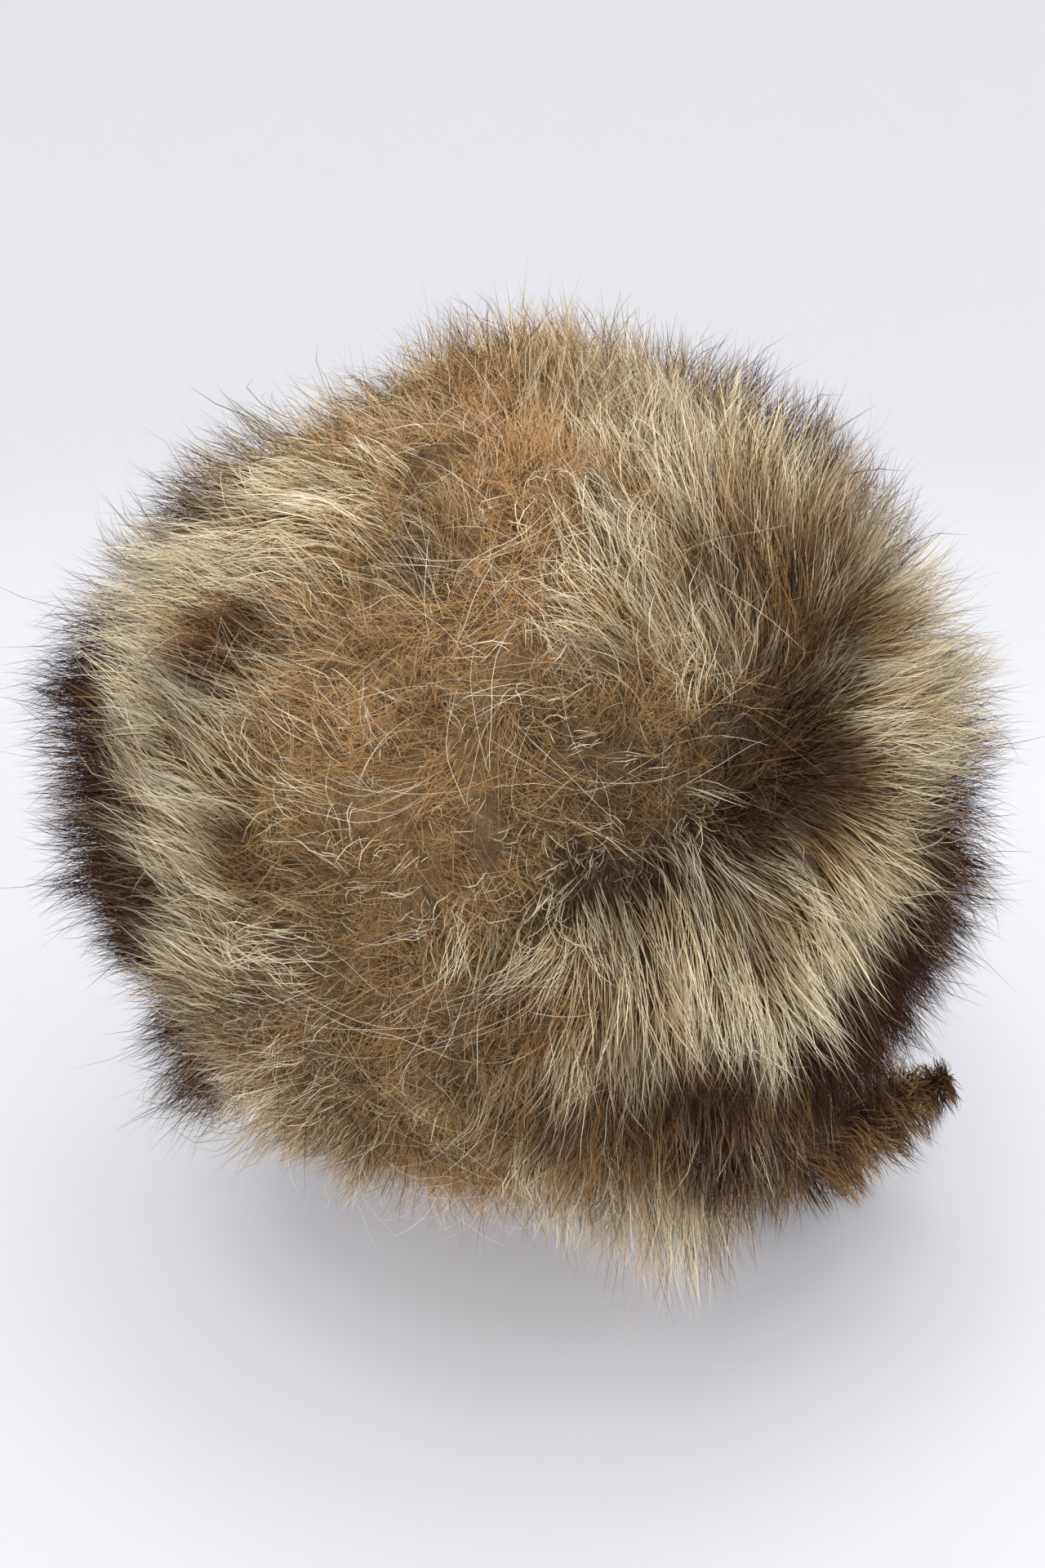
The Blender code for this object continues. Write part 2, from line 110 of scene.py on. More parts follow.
# The fur as it grows: across, rise and away are the way it is combed, as the photo's camera sees it; stand is how
# much the guard hair stands up; length and depth are the guard hair's and the underfur's, in metres; guard is the
# share of guard hair; wool is how pale the underfur is.
Lie = namedtuple("Lie", "name azimuth level across rise away stand length depth guard wool")
LIES = (
    Lie("crown", 0, 0.02, -0.10, 0.60, 0.0, 0.80, 0.076, 0.050, 0.10, 0.95),
    Lie("crown front", 180, 0.15, -0.10, 0.80, 0.2, 0.90, 0.071, 0.046, 0.35, 0.70),
    Lie("crown back", 0, 0.15, 0.00, 0.50, 0.0, 0.60, 0.050, 0.042, 0.08, 0.95),
    Lie("crown left", -30, 0.09, -0.40, 0.50, 0.0, 0.60, 0.056, 0.042, 0.10, 0.95),
    Lie("belly high", -5, 0.27, -0.10, 0.30, 0.0, 0.50, 0.042, 0.034, 0.10, 0.85),
    Lie("belly middle", -10, 0.40, -0.20, 0.05, 0.0, 0.50, 0.040, 0.034, 0.10, 0.75),
    Lie("belly curls", 8, 0.40, 0.30, 0.10, 0.0, 0.50, 0.036, 0.030, 0.40, 0.25),
    Lie("belly low", -12, 0.60, -0.30, -0.20, 0.0, 0.50, 0.040, 0.034, 0.10, 0.60),
    Lie("belly nape", -8, 0.84, -0.10, -0.80, 0.0, 0.50, 0.036, 0.028, 0.10, 0.62),
    Lie("nape edge", -5, 1.00, 0.00, -0.90, 0.0, 0.50, 0.030, 0.020, 0.12, 0.80),
    Lie("left crown", -60, 0.10, -0.90, 0.25, 0.0, 0.50, 0.047, 0.034, 0.50, 0.90),
    Lie("left bundle", -45, 0.20, -1.00, 0.20, 0.0, 0.40, 0.062, 0.034, 0.95, 0.80),
    Lie("left shoulder", -90, 0.28, -0.80, 0.35, 0.0, 0.70, 0.073, 0.034, 1.00, 0.50),
    Lie("left side", -85, 0.45, -0.90, 0.10, 0.0, 0.80, 0.088, 0.034, 1.00, 0.45),
    Lie("left back", -55, 0.36, -0.90, 0.30, 0.0, 0.60, 0.070, 0.034, 1.00, 0.50),
    Lie("left swirl", -42, 0.45, -0.75, 0.60, 0.0, 0.45, 0.066, 0.034, 0.90, 0.50),
    Lie("left swirl low", -38, 0.57, -0.80, 0.50, 0.0, 0.45, 0.062, 0.034, 0.70, 0.50),
    Lie("left inner", -25, 0.38, -0.60, 0.30, 0.0, 0.45, 0.050, 0.034, 0.18, 0.90),
    Lie("left low side", -80, 0.65, -0.85, -0.05, 0.0, 0.80, 0.080, 0.034, 1.00, 0.40),
    Lie("left low back", -48, 0.67, -0.85, 0.25, 0.0, 0.55, 0.066, 0.034, 0.95, 0.45),
    Lie("left low inner", -28, 0.69, -0.60, 0.00, 0.0, 0.50, 0.052, 0.034, 0.35, 0.55),
    Lie("left low end", -76, 0.79, -0.85, -0.20, 0.0, 0.80, 0.067, 0.032, 1.00, 0.40),
    Lie("left notch", -60, 0.84, -0.90, -0.10, 0.0, 0.70, 0.042, 0.028, 0.80, 0.50),
    Lie("left band", -62, 1.00, -0.85, -0.50, 0.0, 0.70, 0.073, 0.022, 0.90, 0.60),
    Lie("left band inner", -38, 0.95, -0.60, -0.45, 0.0, 0.60, 0.038, 0.024, 0.60, 0.80),
    Lie("right crown", 30, 0.08, -0.10, 0.95, 0.0, 0.50, 0.070, 0.034, 0.60, 0.70),
    Lie("right upper", 60, 0.18, 0.05, 1.00, 0.0, 0.50, 0.074, 0.034, 0.95, 0.50),
    Lie("right shoulder", 100, 0.25, 0.45, 0.75, 0.0, 0.80, 0.068, 0.034, 1.00, 0.40),
    Lie("right front", 135, 0.28, 0.35, 0.60, 0.2, 0.80, 0.054, 0.030, 0.95, 0.40),
    Lie("left front", -135, 0.28, -0.45, 0.50, 0.2, 0.80, 0.040, 0.024, 0.95, 0.50),
    Lie("right shoulder back", 78, 0.26, 0.35, 0.85, 0.0, 0.70, 0.074, 0.034, 1.00, 0.45),
    Lie("right edge", 90, 0.34, 0.60, 0.60, 0.0, 0.80, 0.077, 0.034, 1.00, 0.40),
    Lie("right sweep", 42, 0.30, -0.50, 0.85, 0.0, 0.45, 0.074, 0.032, 0.95, 0.45),
    Lie("right inner", 22, 0.30, -0.75, 0.60, 0.0, 0.40, 0.066, 0.032, 0.60, 0.75),
    Lie("right curls", 35, 0.39, -0.10, 0.40, 0.0, 0.70, 0.036, 0.022, 0.70, 0.15),
    Lie("right brown", 62, 0.43, 0.60, 0.30, 0.0, 0.80, 0.060, 0.032, 0.85, 0.60),
    Lie("right side", 85, 0.52, 0.95, 0.05, 0.0, 0.80, 0.082, 0.034, 1.00, 0.60),
    Lie("right low back", 60, 0.56, 0.85, -0.40, 0.0, 0.50, 0.080, 0.034, 1.00, 0.35),
    Lie("right fan", 38, 0.52, 0.45, -0.90, 0.0, 0.50, 0.080, 0.034, 1.00, 0.35),
    Lie("right clumps", 16, 0.53, 0.00, -1.10, 0.0, 0.60, 0.076, 0.034, 0.90, 0.15),
    Lie("seam tufts", 3, 0.52, -0.50, -0.80, 0.0, 0.60, 0.056, 0.034, 0.60, 0.35),
    Lie("right low side", 82, 0.72, 0.80, -0.45, 0.0, 0.80, 0.072, 0.034, 1.00, 0.25),
    Lie("right low", 55, 0.76, 0.50, -0.80, 0.0, 0.50, 0.071, 0.034, 1.00, 0.15),
    Lie("right middle low", 30, 0.74, 0.15, -1.00, 0.0, 0.45, 0.070, 0.034, 1.00, 0.25),
    Lie("seam low", 4, 0.74, -0.40, -0.85, 0.0, 0.45, 0.056, 0.032, 0.60, 0.40),
    Lie("band start", 11, 0.98, 0.00, -0.95, 0.0, 0.50, 0.044, 0.022, 0.60, 0.55),
    Lie("right band", 25, 0.94, 0.05, -1.00, 0.0, 0.50, 0.080, 0.026, 0.95, 0.35),
    Lie("right band side", 50, 0.96, 0.35, -0.80, 0.0, 0.60, 0.040, 0.024, 0.95, 0.25),
    Lie("right band end", 85, 0.97, 0.60, -0.40, 0.0, 0.80, 0.040, 0.024, 0.95, 0.30),
    Lie("left cheek", -130, 0.60, -0.30, -0.20, 0.5, 1.10, 0.062, 0.026, 0.95, 0.50),
    Lie("right cheek", 130, 0.60, 0.30, -0.20, 0.5, 1.10, 0.062, 0.026, 0.95, 0.50),
    Lie("left jaw", -125, 1.00, -0.30, -0.60, 0.4, 0.90, 0.050, 0.022, 0.90, 0.50),
    Lie("right jaw", 125, 1.00, 0.30, -0.60, 0.4, 0.90, 0.050, 0.022, 0.90, 0.50),
    Lie("forehead", 180, 0.32, 0.00, 0.10, 0.6, 1.20, 0.056, 0.026, 0.90, 0.50),
)
LIE_REACH = 0.014
HAIR_DROOP = 0.45
HAIR_WAVE = 0.22
LONGEST_HAIR = 0.088
RIM_DEPTH_SHARE = 0.20
RIM_WIDTH = 0.30
UNDERFUR_LEAN = 0.10

# Partings, where the fur falls to both sides: places along them, how wide they are, how much shorter and darker
# (painted shade) the fur is in them and how strongly it is combed away from them.
Parting = namedtuple("Parting", "name places width pinch push")
RIGHT_PARTING = ((8, 0.475), (15, 0.47), (30, 0.455), (45, 0.43), (55, 0.385), (65, 0.35), (75, 0.35))
PARTINGS = (
    Parting("right parting", RIGHT_PARTING, 0.007, 0.60, 0.30),
    Parting("small cleft", ((-24, 0.16), (-19, 0.25)), 0.005, 0.55, 0.5),
    Parting("left notch", ((-80, 0.87), (-62, 0.86), (-50, 0.87)), 0.008, 0.35, 0.4),
)

# The colour of the guard hair where it shows, at places this many millimetres out of the pelt: dark is how dark
# its tips are there and cream how pale it is.
Tint = namedtuple("Tint", "name azimuth level height dark cream")
TINTS = (
    Tint("crown", 0, 0.05, 42, 0.00, 0.60),
    Tint("crown left", -86, 0.05, 40, 0.00, 0.60),
    Tint("crown front", 180, 0.10, 45, 0.10, 0.60),
    Tint("left crown", -75, 0.12, 42, 0.05, 0.60),
    Tint("pale bundle", -54, 0.20, 39, 0.00, 1.00),
    Tint("pale bundle end", -40, 0.20, 37, 0.00, 0.90),
    Tint("pale bundle top", -78, 0.21, 43, 0.10, 0.95),
    Tint("left top tips", -92, 0.24, 50, 0.45, 0.60),
    Tint("left top edge", -104, 0.27, 60, 0.80, 0.40),
    Tint("left upper edge", -90, 0.30, 56, 0.65, 0.45),
    Tint("left upper brown", -82, 0.26, 46, 0.30, 0.60),
    Tint("left upper cream", -60, 0.27, 42, 0.00, 1.00),
    Tint("left cream", -74, 0.34, 49, 0.10, 0.95),
    Tint("left cream edge", -88, 0.38, 57, 0.30, 0.80),
    Tint("left bright", -70, 0.41, 48, 0.00, 1.00),
    Tint("left bright edge", -67, 0.44, 50, 0.10, 0.90),
    Tint("left edge dark", -84, 0.48, 62, 1.00, 0.15),
    Tint("left edge dark in", -77, 0.46, 56, 0.95, 0.15),
    Tint("left edge tips", -92, 0.50, 72, 1.00, 0.15),
    Tint("left edge lower", -84, 0.57, 62, 0.85, 0.15),
    Tint("left edge lower in", -76, 0.54, 55, 0.80, 0.25),
    Tint("left mottled", -64, 0.44, 44, 0.20, 0.85),
    Tint("left brown patch", -50, 0.35, 39, 0.60, 0.20),
    Tint("left tan", -50, 0.41, 40, 0.25, 0.70),
    Tint("left fan high", -38, 0.40, 39, 0.00, 1.00),
    Tint("left fan low", -34, 0.44, 36, 0.00, 0.95),
    Tint("left fan", -44, 0.44, 39, 0.00, 1.00),
    Tint("left side tan", -52, 0.47, 42, 0.35, 0.55),
    Tint("left side low", -64, 0.56, 43, 0.58, 0.60),
    Tint("left side low edge", -74, 0.60, 54, 0.75, 0.55),
    Tint("left low cream", -50, 0.55, 42, 0.15, 0.90),
    Tint("left inner dark", -36, 0.49, 36, 0.65, 0.10),
    Tint("left inner low", -36, 0.57, 38, 0.25, 0.75),
    Tint("left low patch", -56, 0.63, 45, 0.78, 0.35),
    Tint("left low dark", -64, 0.65, 49, 0.80, 0.25),
    Tint("left low tips", -75, 0.71, 58, 1.00, 0.15),
    Tint("left low tips end", -78, 0.77, 62, 0.95, 0.15),
    Tint("left low pale", -49, 0.68, 41, 0.05, 0.95),
    Tint("left curls", -30, 0.60, 38, 0.00, 0.95),
    Tint("left curls low", -32, 0.67, 38, 0.00, 0.90),
    Tint("left notch", -48, 0.77, 39, 0.25, 0.60),
    Tint("left notch dark", -62, 0.80, 45, 0.55, 0.45),
    Tint("left band tips", -82, 1.04, 54, 1.00, 0.15),
    Tint("left band dark", -68, 0.98, 46, 0.75, 0.40),
    Tint("left band cream", -46, 0.87, 37, 0.00, 0.90),
    Tint("left band low", -40, 0.96, 37, 0.00, 0.80),
    Tint("left band inner", -30, 0.95, 35, 0.00, 0.60),
    Tint("belly high", -20, 0.30, 38, 0.00, 0.50),
    Tint("belly", -12, 0.55, 38, 0.00, 0.50),
    Tint("belly low", -12, 0.82, 36, 0.05, 0.45),
    Tint("nape edge", -4, 1.00, 30, 0.00, 0.60),
    Tint("seam curls", 6, 0.37, 38, 0.20, 0.70),
    Tint("belly curls", 12, 0.38, 34, 0.45, 0.45),
    Tint("sweep top", 22, 0.14, 40, 0.00, 0.95),
    Tint("sweep high", 14, 0.25, 41, 0.00, 1.00),
    Tint("sweep", 28, 0.29, 36, 0.00, 0.90),
    Tint("sweep end", 36, 0.31, 33, 0.25, 0.70),
    Tint("right crown", 32, 0.18, 40, 0.05, 0.75),
    Tint("right khaki", 54, 0.17, 44, 0.05, 0.62),
    Tint("right khaki low", 56, 0.21, 40, 0.15, 0.58),
    Tint("right khaki far", 84, 0.17, 52, 0.15, 0.62),
    Tint("right top tips", 110, 0.20, 58, 0.90, 0.40),
    Tint("right top edge", 112, 0.25, 62, 0.95, 0.35),
    Tint("right top far", 126, 0.27, 58, 0.95, 0.30),
    Tint("right shoulder tips", 100, 0.24, 55, 0.55, 0.60),
    Tint("right shoulder edge", 104, 0.28, 56, 0.80, 0.45),
    Tint("right shoulder low", 104, 0.34, 61, 0.75, 0.45),
    Tint("right shoulder pale", 90, 0.32, 46, 0.20, 0.75),
    Tint("right depth", 48, 0.26, 40, 0.45, 0.20),
    Tint("right depth inner", 34, 0.25, 35, 0.35, 0.50),
    Tint("right brown high", 60, 0.29, 41, 0.35, 0.35),
    Tint("right brown side", 70, 0.33, 42, 0.20, 0.40),
    Tint("right pale edge", 94, 0.38, 55, 0.10, 0.85),
    Tint("right curls", 38, 0.37, 30, 0.65, 0.15),
    Tint("right curls high", 50, 0.31, 38, 0.50, 0.15),
    Tint("right brown", 68, 0.38, 33, 0.00, 0.50),
    Tint("right cream high", 98, 0.44, 56, 0.10, 0.95),
    Tint("right cream", 80, 0.47, 49, 0.00, 1.00),
    Tint("right cream inner", 60, 0.44, 40, 0.00, 0.95),
    Tint("right edge tips", 100, 0.48, 66, 0.45, 0.75),
    Tint("right side dark", 92, 0.57, 62, 0.90, 0.20),
    Tint("parting", 32, 0.46, 24, 0.60, 0.15),
    Tint("parting end", 50, 0.44, 26, 0.70, 0.12),
    Tint("right low cream", 56, 0.51, 41, 0.00, 1.00),
    Tint("right low cream in", 47, 0.56, 40, 0.00, 1.00),
    Tint("right low cream low", 38, 0.59, 38, 0.00, 1.00),
    Tint("right low patch", 60, 0.55, 47, 0.75, 0.40),
    Tint("right low edge", 78, 0.63, 58, 1.00, 0.15),
    Tint("right low dark", 60, 0.69, 51, 0.95, 0.12),
    Tint("right low dark in", 47, 0.73, 48, 1.00, 0.10),
    Tint("right low dark end", 44, 0.76, 46, 1.00, 0.10),
    Tint("right low dark mid", 42, 0.69, 44, 1.00, 0.10),
    Tint("right low dark up", 53, 0.64, 46, 0.85, 0.15),
    Tint("right low brown", 36, 0.75, 40, 0.85, 0.12),
    Tint("right tan", 30, 0.68, 42, 0.15, 0.85),
    Tint("right clumps high", 24, 0.52, 36, 0.15, 0.80),
    Tint("right clumps dark", 30, 0.56, 40, 0.35, 0.65),
    Tint("right clumps", 18, 0.57, 39, 0.00, 1.00),
    Tint("right clumps low", 24, 0.62, 42, 0.00, 0.95),
    Tint("seam tufts", 6, 0.53, 32, 0.00, 1.00),
    Tint("seam tufts dark", 12, 0.54, 34, 0.35, 0.55),
    Tint("dark band start", 14, 0.67, 37, 0.28, 0.65),
    Tint("dark band", 20, 0.72, 44, 0.95, 0.10),
    Tint("seam low", 6, 0.67, 39, 0.30, 0.70),
    Tint("seam shade", 1, 0.62, 36, 0.35, 0.30),
    Tint("seam shade low", 10, 0.76, 38, 0.50, 0.25),
    Tint("seam brown", 0, 0.73, 36, 0.45, 0.35),
    Tint("band olive", 24, 0.82, 43, 0.65, 0.22),
    Tint("band brown", 14, 0.84, 38, 0.35, 0.28),
    Tint("band tan", 8, 0.88, 37, 0.10, 0.50),
    Tint("band mottled", 28, 0.92, 43, 0.80, 0.20),
    Tint("band cream", 22, 0.97, 40, 0.20, 0.80),
    Tint("band tips", 30, 1.05, 56, 0.60, 0.60),
    Tint("band low", 18, 1.03, 32, 0.05, 0.80),
    Tint("right band side", 48, 0.90, 44, 0.90, 0.15),
    Tint("right band end", 80, 0.95, 45, 0.85, 0.35),
    Tint("left cheek", -130, 0.60, 50, 0.50, 0.60),
    Tint("right cheek", 130, 0.60, 50, 0.50, 0.60),
    Tint("forehead", 180, 0.35, 50, 0.40, 0.60),
    Tint("left jaw", -125, 1.00, 40, 0.40, 0.60),
    Tint("right jaw", 125, 1.00, 40, 0.40, 0.60),
)
TINT_REACH = 0.007

# Tail
TAIL_LENGTH = 0.175
TAIL_THICKNESS = 0.032
TAIL_ROOT_THICKNESS = 0.008
TAIL_ROOT_INSET = 0.005
TAIL_HAIR = 0.0095
TAIL_HAIR_SAG = 0.30
TAIL_AZIMUTH = math.radians(116)
TAIL_ROOT_LEVEL = 0.93
TAIL_BARE_SHARE = 0.27
TAIL_HIDDEN_SHARE = 0.12
TAIL_RINGS = 5
Bend = namedtuple("Bend", "name right forward up thickness")
TAIL_BENDS = (
    Bend("leaves the hem", 0.02, -0.04, -0.12, 0.30),
    Bend("swings out", 0.09, -0.20, -0.29, 0.80),
    Bend("lowest", 0.17, -0.34, -0.35, 1.00),
    Bend("full", 0.28, -0.29, -0.35, 1.00),
    Bend("narrows", 0.43, -0.22, -0.32, 0.70),
    Bend("tip", 0.57, -0.20, -0.26, 0.16),
)


def curve_between(before, start, end, after, share):
    """A Catmull-Rom curve through start and end."""
    return (
        start
        + (end - before) * (share / 2)
        + (before * 2 - start * 5 + end * 4 - after) * (share**2 / 2)
        + (start * 3 - before - end * 3 + after) * (share**3 / 2)
    )


SECTION_LEVELS, SECTION_DROPS, SECTION_SPREADS = (np.array(column) for column in zip(*SECTIONS))


def section_at(level):
    start = np.clip(np.searchsorted(SECTION_LEVELS, level, side="right") - 1, 1, len(SECTIONS) - 3)
    share = (level - SECTION_LEVELS[start]) / (SECTION_LEVELS[start + 1] - SECTION_LEVELS[start])
    four = [start - 1, start, start + 1, start + 2]
    drop = curve_between(*(SECTION_DROPS[index] for index in four), share)
    spread = curve_between(*(SECTION_SPREADS[index] for index in four), share)
    return drop, spread


def inner_points(azimuth, level):
    """Points on the inside of the pelt."""
    drop, spread = section_at(level)
    edge_drop = NAPE_DROP + (CHEEK_DROP - NAPE_DROP) * (1 - np.cos(azimuth)) / 2
    depth = np.where(np.cos(azimuth) > 0, HOOD_BACK, HOOD_FRONT)
    across = HOOD_HALF_WIDTH * spread * np.sin(azimuth)
    along = -depth * spread * np.cos(azimuth)
    return np.stack((across, along, -edge_drop * drop), axis=-1)


def unit(vectors):
    return vectors / np.maximum(np.linalg.norm(vectors, axis=-1, keepdims=True), 1e-12)


def outward(azimuth, level):
    """The ways out of the pelt, at right angles to it."""
    near_crown = 0.02
    step = 0.004
    down = inner_points(azimuth, level + step) - inner_points(azimuth, level - step)
    around = inner_points(azimuth + step, level) - inner_points(azimuth - step, level)
    out = unit(np.cross(down, around))
    return np.where((level < near_crown)[..., None], np.array((0.0, 0.0, 1.0)), out)


def place_of(points):
    """The azimuth and the level of points on the grid's cube, spaced evenly."""
    even = np.tan(math.pi / 4 * points)
    azimuth = np.arctan2(even[..., 0], -even[..., 1])
    polar = np.arctan2(np.hypot(even[..., 0], even[..., 1]), even[..., 2])
    edge_reach = 1 / np.maximum(np.abs(np.sin(azimuth)), np.abs(np.cos(azimuth)))
    return azimuth, polar / np.arctan2(edge_reach, -1)


def cube_side(side, a, b):
    """Points on one side of the cube. Its front and its bottom stay open."""
    one = np.ones_like(a)
    sides = {"back": (a, -one, b), "left": (-one, -a, b), "right": (one, a, b), "top": (a, b, one)}
    return np.stack(sides[side], axis=-1)


SIDES = ("back", "left", "right", "top")


def in_band(points):
    return (points[..., 2] < BAND_TOP) & (np.abs(points[..., 2]) < 1)


def in_left(points):
    return ~in_band(points) & (points[..., 0] < 0)


def in_right_upper(points):
    return ~in_band(points) & (points[..., 0] >= 0) & (place_of(points)[1] < PARTING_LEVEL)


def in_right_lower(points):
    return ~in_band(points) & (points[..., 0] >= 0) & (place_of(points)[1] >= PARTING_LEVEL)


def weights_to(positions, anchors, reach):
    """The share that each anchor has at each position."""
    squared = ((positions[:, None, :] - anchors[None, :, :]) ** 2).sum(axis=-1)
    weight = 1 / (squared + reach**2) ** 2
    return weight / weight.sum(axis=1, keepdims=True)


def row_places(rows):
    azimuth = np.radians([row.azimuth for row in rows])
    level = np.array([row.level for row in rows], dtype=float)
    return azimuth, level


LIE_ANCHORS = inner_points(*row_places(LIES))
LIE_COLUMNS = Lie._fields[3:]
LIE_VALUES = np.array([row[3:] for row in LIES], dtype=float)
TINT_HEIGHTS = np.array([[row.height / 1000] for row in TINTS])
TINT_ANCHORS = inner_points(*row_places(TINTS)) + outward(*row_places(TINTS)) * TINT_HEIGHTS
TINT_VALUES = np.array([(row.dark, row.cream) for row in TINTS])


def in_batches(function, *arrays, size=20000):
    """The function run on a slice at a time, so that the tables of weights stay small."""
    parts = [function(*(array[i : i + size] for array in arrays)) for i in range(0, len(arrays[0]), size)]
    return np.concatenate(parts)


def lie_at(azimuth, level):
    """The chart's columns at places, blended from its rows."""
    here = inner_points(azimuth, level)
    blended = in_batches(lambda part: weights_to(part, LIE_ANCHORS, LIE_REACH) @ LIE_VALUES, here)
    return dict(zip(LIE_COLUMNS, blended.T))


def tint_at(positions):
    """dark and cream at positions in the fur, one row each."""
    return in_batches(lambda part: weights_to(part, TINT_ANCHORS, TINT_REACH) @ TINT_VALUES, positions)


def parting_at(parting, here):
    """How near points on the pelt are to a parting, from 0 to 1, and the way from it to each of them."""
    azimuth, level = (np.array(column) for column in zip(*parting.places))
    knots = np.linspace(0, len(azimuth) - 1, 40)
    number = np.arange(len(azimuth))
    line = inner_points(np.radians(np.interp(knots, number, azimuth)), np.interp(knots, number, level))
    away = here[:, None, :] - line[None, :, :]
    nearest = np.linalg.norm(away, axis=-1).argmin(axis=1)
    away = away[np.arange(len(here)), nearest]
    distance = np.linalg.norm(away, axis=-1)
    return distance, unit(away)


def soft_noise(positions, scale, seed, waves=14):
    """Smooth noise, mostly from -1 to 1, in three channels, made of a few waves of about this scale."""
    chance = np.random.default_rng(seed)
    total = np.zeros(positions.shape)
    for channel in range(3):
        ways = unit(chance.normal(size=(waves, 3))) * chance.uniform(0.6, 1.6, (waves, 1)) * math.tau / scale
        phases = chance.uniform(0, math.tau, waves)
        total[..., channel] = np.sin(positions @ ways.T + phases).sum(axis=-1)
    return total / math.sqrt(waves / 2) / 1.8


class Ground:
    """Places on the hood with all that hair needs to know there, one row each."""

    def __init__(self, cube_points):
        self.cube = cube_points
        azimuth, level = place_of(cube_points)
        self.out = outward(azimuth, level)
        here = inner_points(azimuth, level)
        self.root = here + self.out * (PELT_THICKNESS + SEAT_GAP)
        self.lie = lie_at(azimuth, level)
        comb = self.column("across") * VIEW_RIGHT + self.column("rise") * VIEW_UP + self.column("away") * VIEW_AWAY
        pinch = np.zeros(len(here))
        for parting in PARTINGS:
            distance, away = parting_at(parting, here)
            comb = comb + away * (parting.push * np.exp(-((distance / parting.width / 2) ** 2)))[:, None]
            pinch = np.maximum(pinch, parting.pinch * np.exp(-((distance / parting.width) ** 2)))
        self.comb = comb - self.out * (comb * self.out).sum(axis=-1, keepdims=True)
        to_rim = np.minimum(1 - cube_points[:, 1], 1 + cube_points[:, 2])
        rim = RIM_DEPTH_SHARE + (1 - RIM_DEPTH_SHARE) * np.clip(to_rim / RIM_WIDTH, 0, 1) ** 0.5
        self.depth = self.lie["depth"] * rim * (1 - 0.6 * pinch)
        self.length = self.lie["length"] * (1 - 0.4 * pinch)
        # Painted shade: light is lower in partings and darkens the hair and the underfur there.
        self.light = 1 - pinch

    def column(self, name):
        return self.lie[name][:, None]

    def within(self, rise):
        """Points in the underfur this far out of the pelt."""
        return self.root + unit(self.out + self.comb * UNDERFUR_LEAN) * rise[:, None]


def sample_ground(belongs, count, density, chance):
    """Ground inside a panel, spread by the pelt's area times a density."""
    cells = 44
    edge = np.linspace(-1, 1, cells + 1)
    low_a, low_b = (grid.ravel() for grid in np.meshgrid(edge[:-1], edge[:-1]))
    step = 2 / cells
    weights = []
    for side in SIDES:
        corners = [
            cube_side(side, low_a + right * step, low_b + up * step) for right, up in ((0, 0), (1, 0), (1, 1), (0, 1))
        ]
        middle = cube_side(side, low_a + step / 2, low_b + step / 2)
        form = [inner_points(*place_of(corner)) for corner in corners]
        area = np.linalg.norm(np.cross(form[2] - form[0], form[3] - form[1]), axis=-1) / 2
        weights.append(area * belongs(middle) * density(Ground(middle)))
    weights = np.concatenate(weights)
    picks = chance.choice(len(weights), size=count, p=weights / weights.sum())
    per_side = cells * cells
    a = low_a[picks % per_side] + chance.uniform(0, step, count)
    b = low_b[picks % per_side] + chance.uniform(0, step, count)
    points = np.zeros((count, 3))
    for index, side in enumerate(SIDES):
        chosen = picks // per_side == index
        points[chosen] = cube_side(side, a[chosen], b[chosen])
    return Ground(points)


def grow(ground, start, length, steps, tilt, chance):
    """Hairs that start in the underfur: a row of steps + 1 points for each. tilt is added to each hair's way."""
    here = ground.within(start)
    sway = chance.normal(size=(len(start), 3)) * HAIR_WAVE
    phase = chance.uniform(0, math.tau, (len(start), 1))
    points = [here]
    for step in range(steps):
        share = (step + 0.5) / steps
        droop = (HAIR_DROOP * share * length / LONGEST_HAIR)[:, None]
        spring = (1 - ground.light)[:, None] * 2.5 * (1 - share)
        way = ground.out * (ground.column("stand") * (1 - droop) + spring) + ground.comb * (1 + droop)
        wave = sway * np.sin(share * math.tau * 0.9 + phase)
        here = here + unit(way + tilt * (0.3 + share) + wave) * length[:, None] / steps
        points.append(here)
    return np.stack(points, axis=1)


def gather(points, clumps, strength):
    """Draws each hair towards the nearest clump's middle hair, more so along its length."""
    tree = kdtree.KDTree(len(clumps))
    for index, root in enumerate(clumps[:, 0]):
        tree.insert(root, index)
    tree.balance()
    nearest = np.array([tree.find(root)[1] for root in points[:, 0]])
    middle = clumps[nearest]
    reach = np.linalg.norm(points[:, -1] - points[:, 0], axis=-1)
    middle_reach = np.linalg.norm(middle[:, -1] - middle[:, 0], axis=-1)
    drawn = middle[:, :1] + (middle - middle[:, :1]) * (reach / middle_reach)[:, None, None]
    share = np.linspace(0, 1, points.shape[1])[None, :, None] ** 1.3 * strength[:, None, None]
    return points * (1 - share) + drawn * share, nearest


def inside_limits(points):
    """Hairs drawn back towards their roots where they would leave the room that the frame allows."""
    reach = points - points[:, :1]
    room = np.where(reach > 0, HAIR_HIGH - points[:, :1], HAIR_LOW - points[:, :1])
    share = np.min(np.where(np.abs(reach) > 1e-6, room / np.where(reach == 0, 1, reach), 1), axis=(1, 2))
    return points[:, :1] + reach * np.clip(share, 0, 1)[:, None, None]


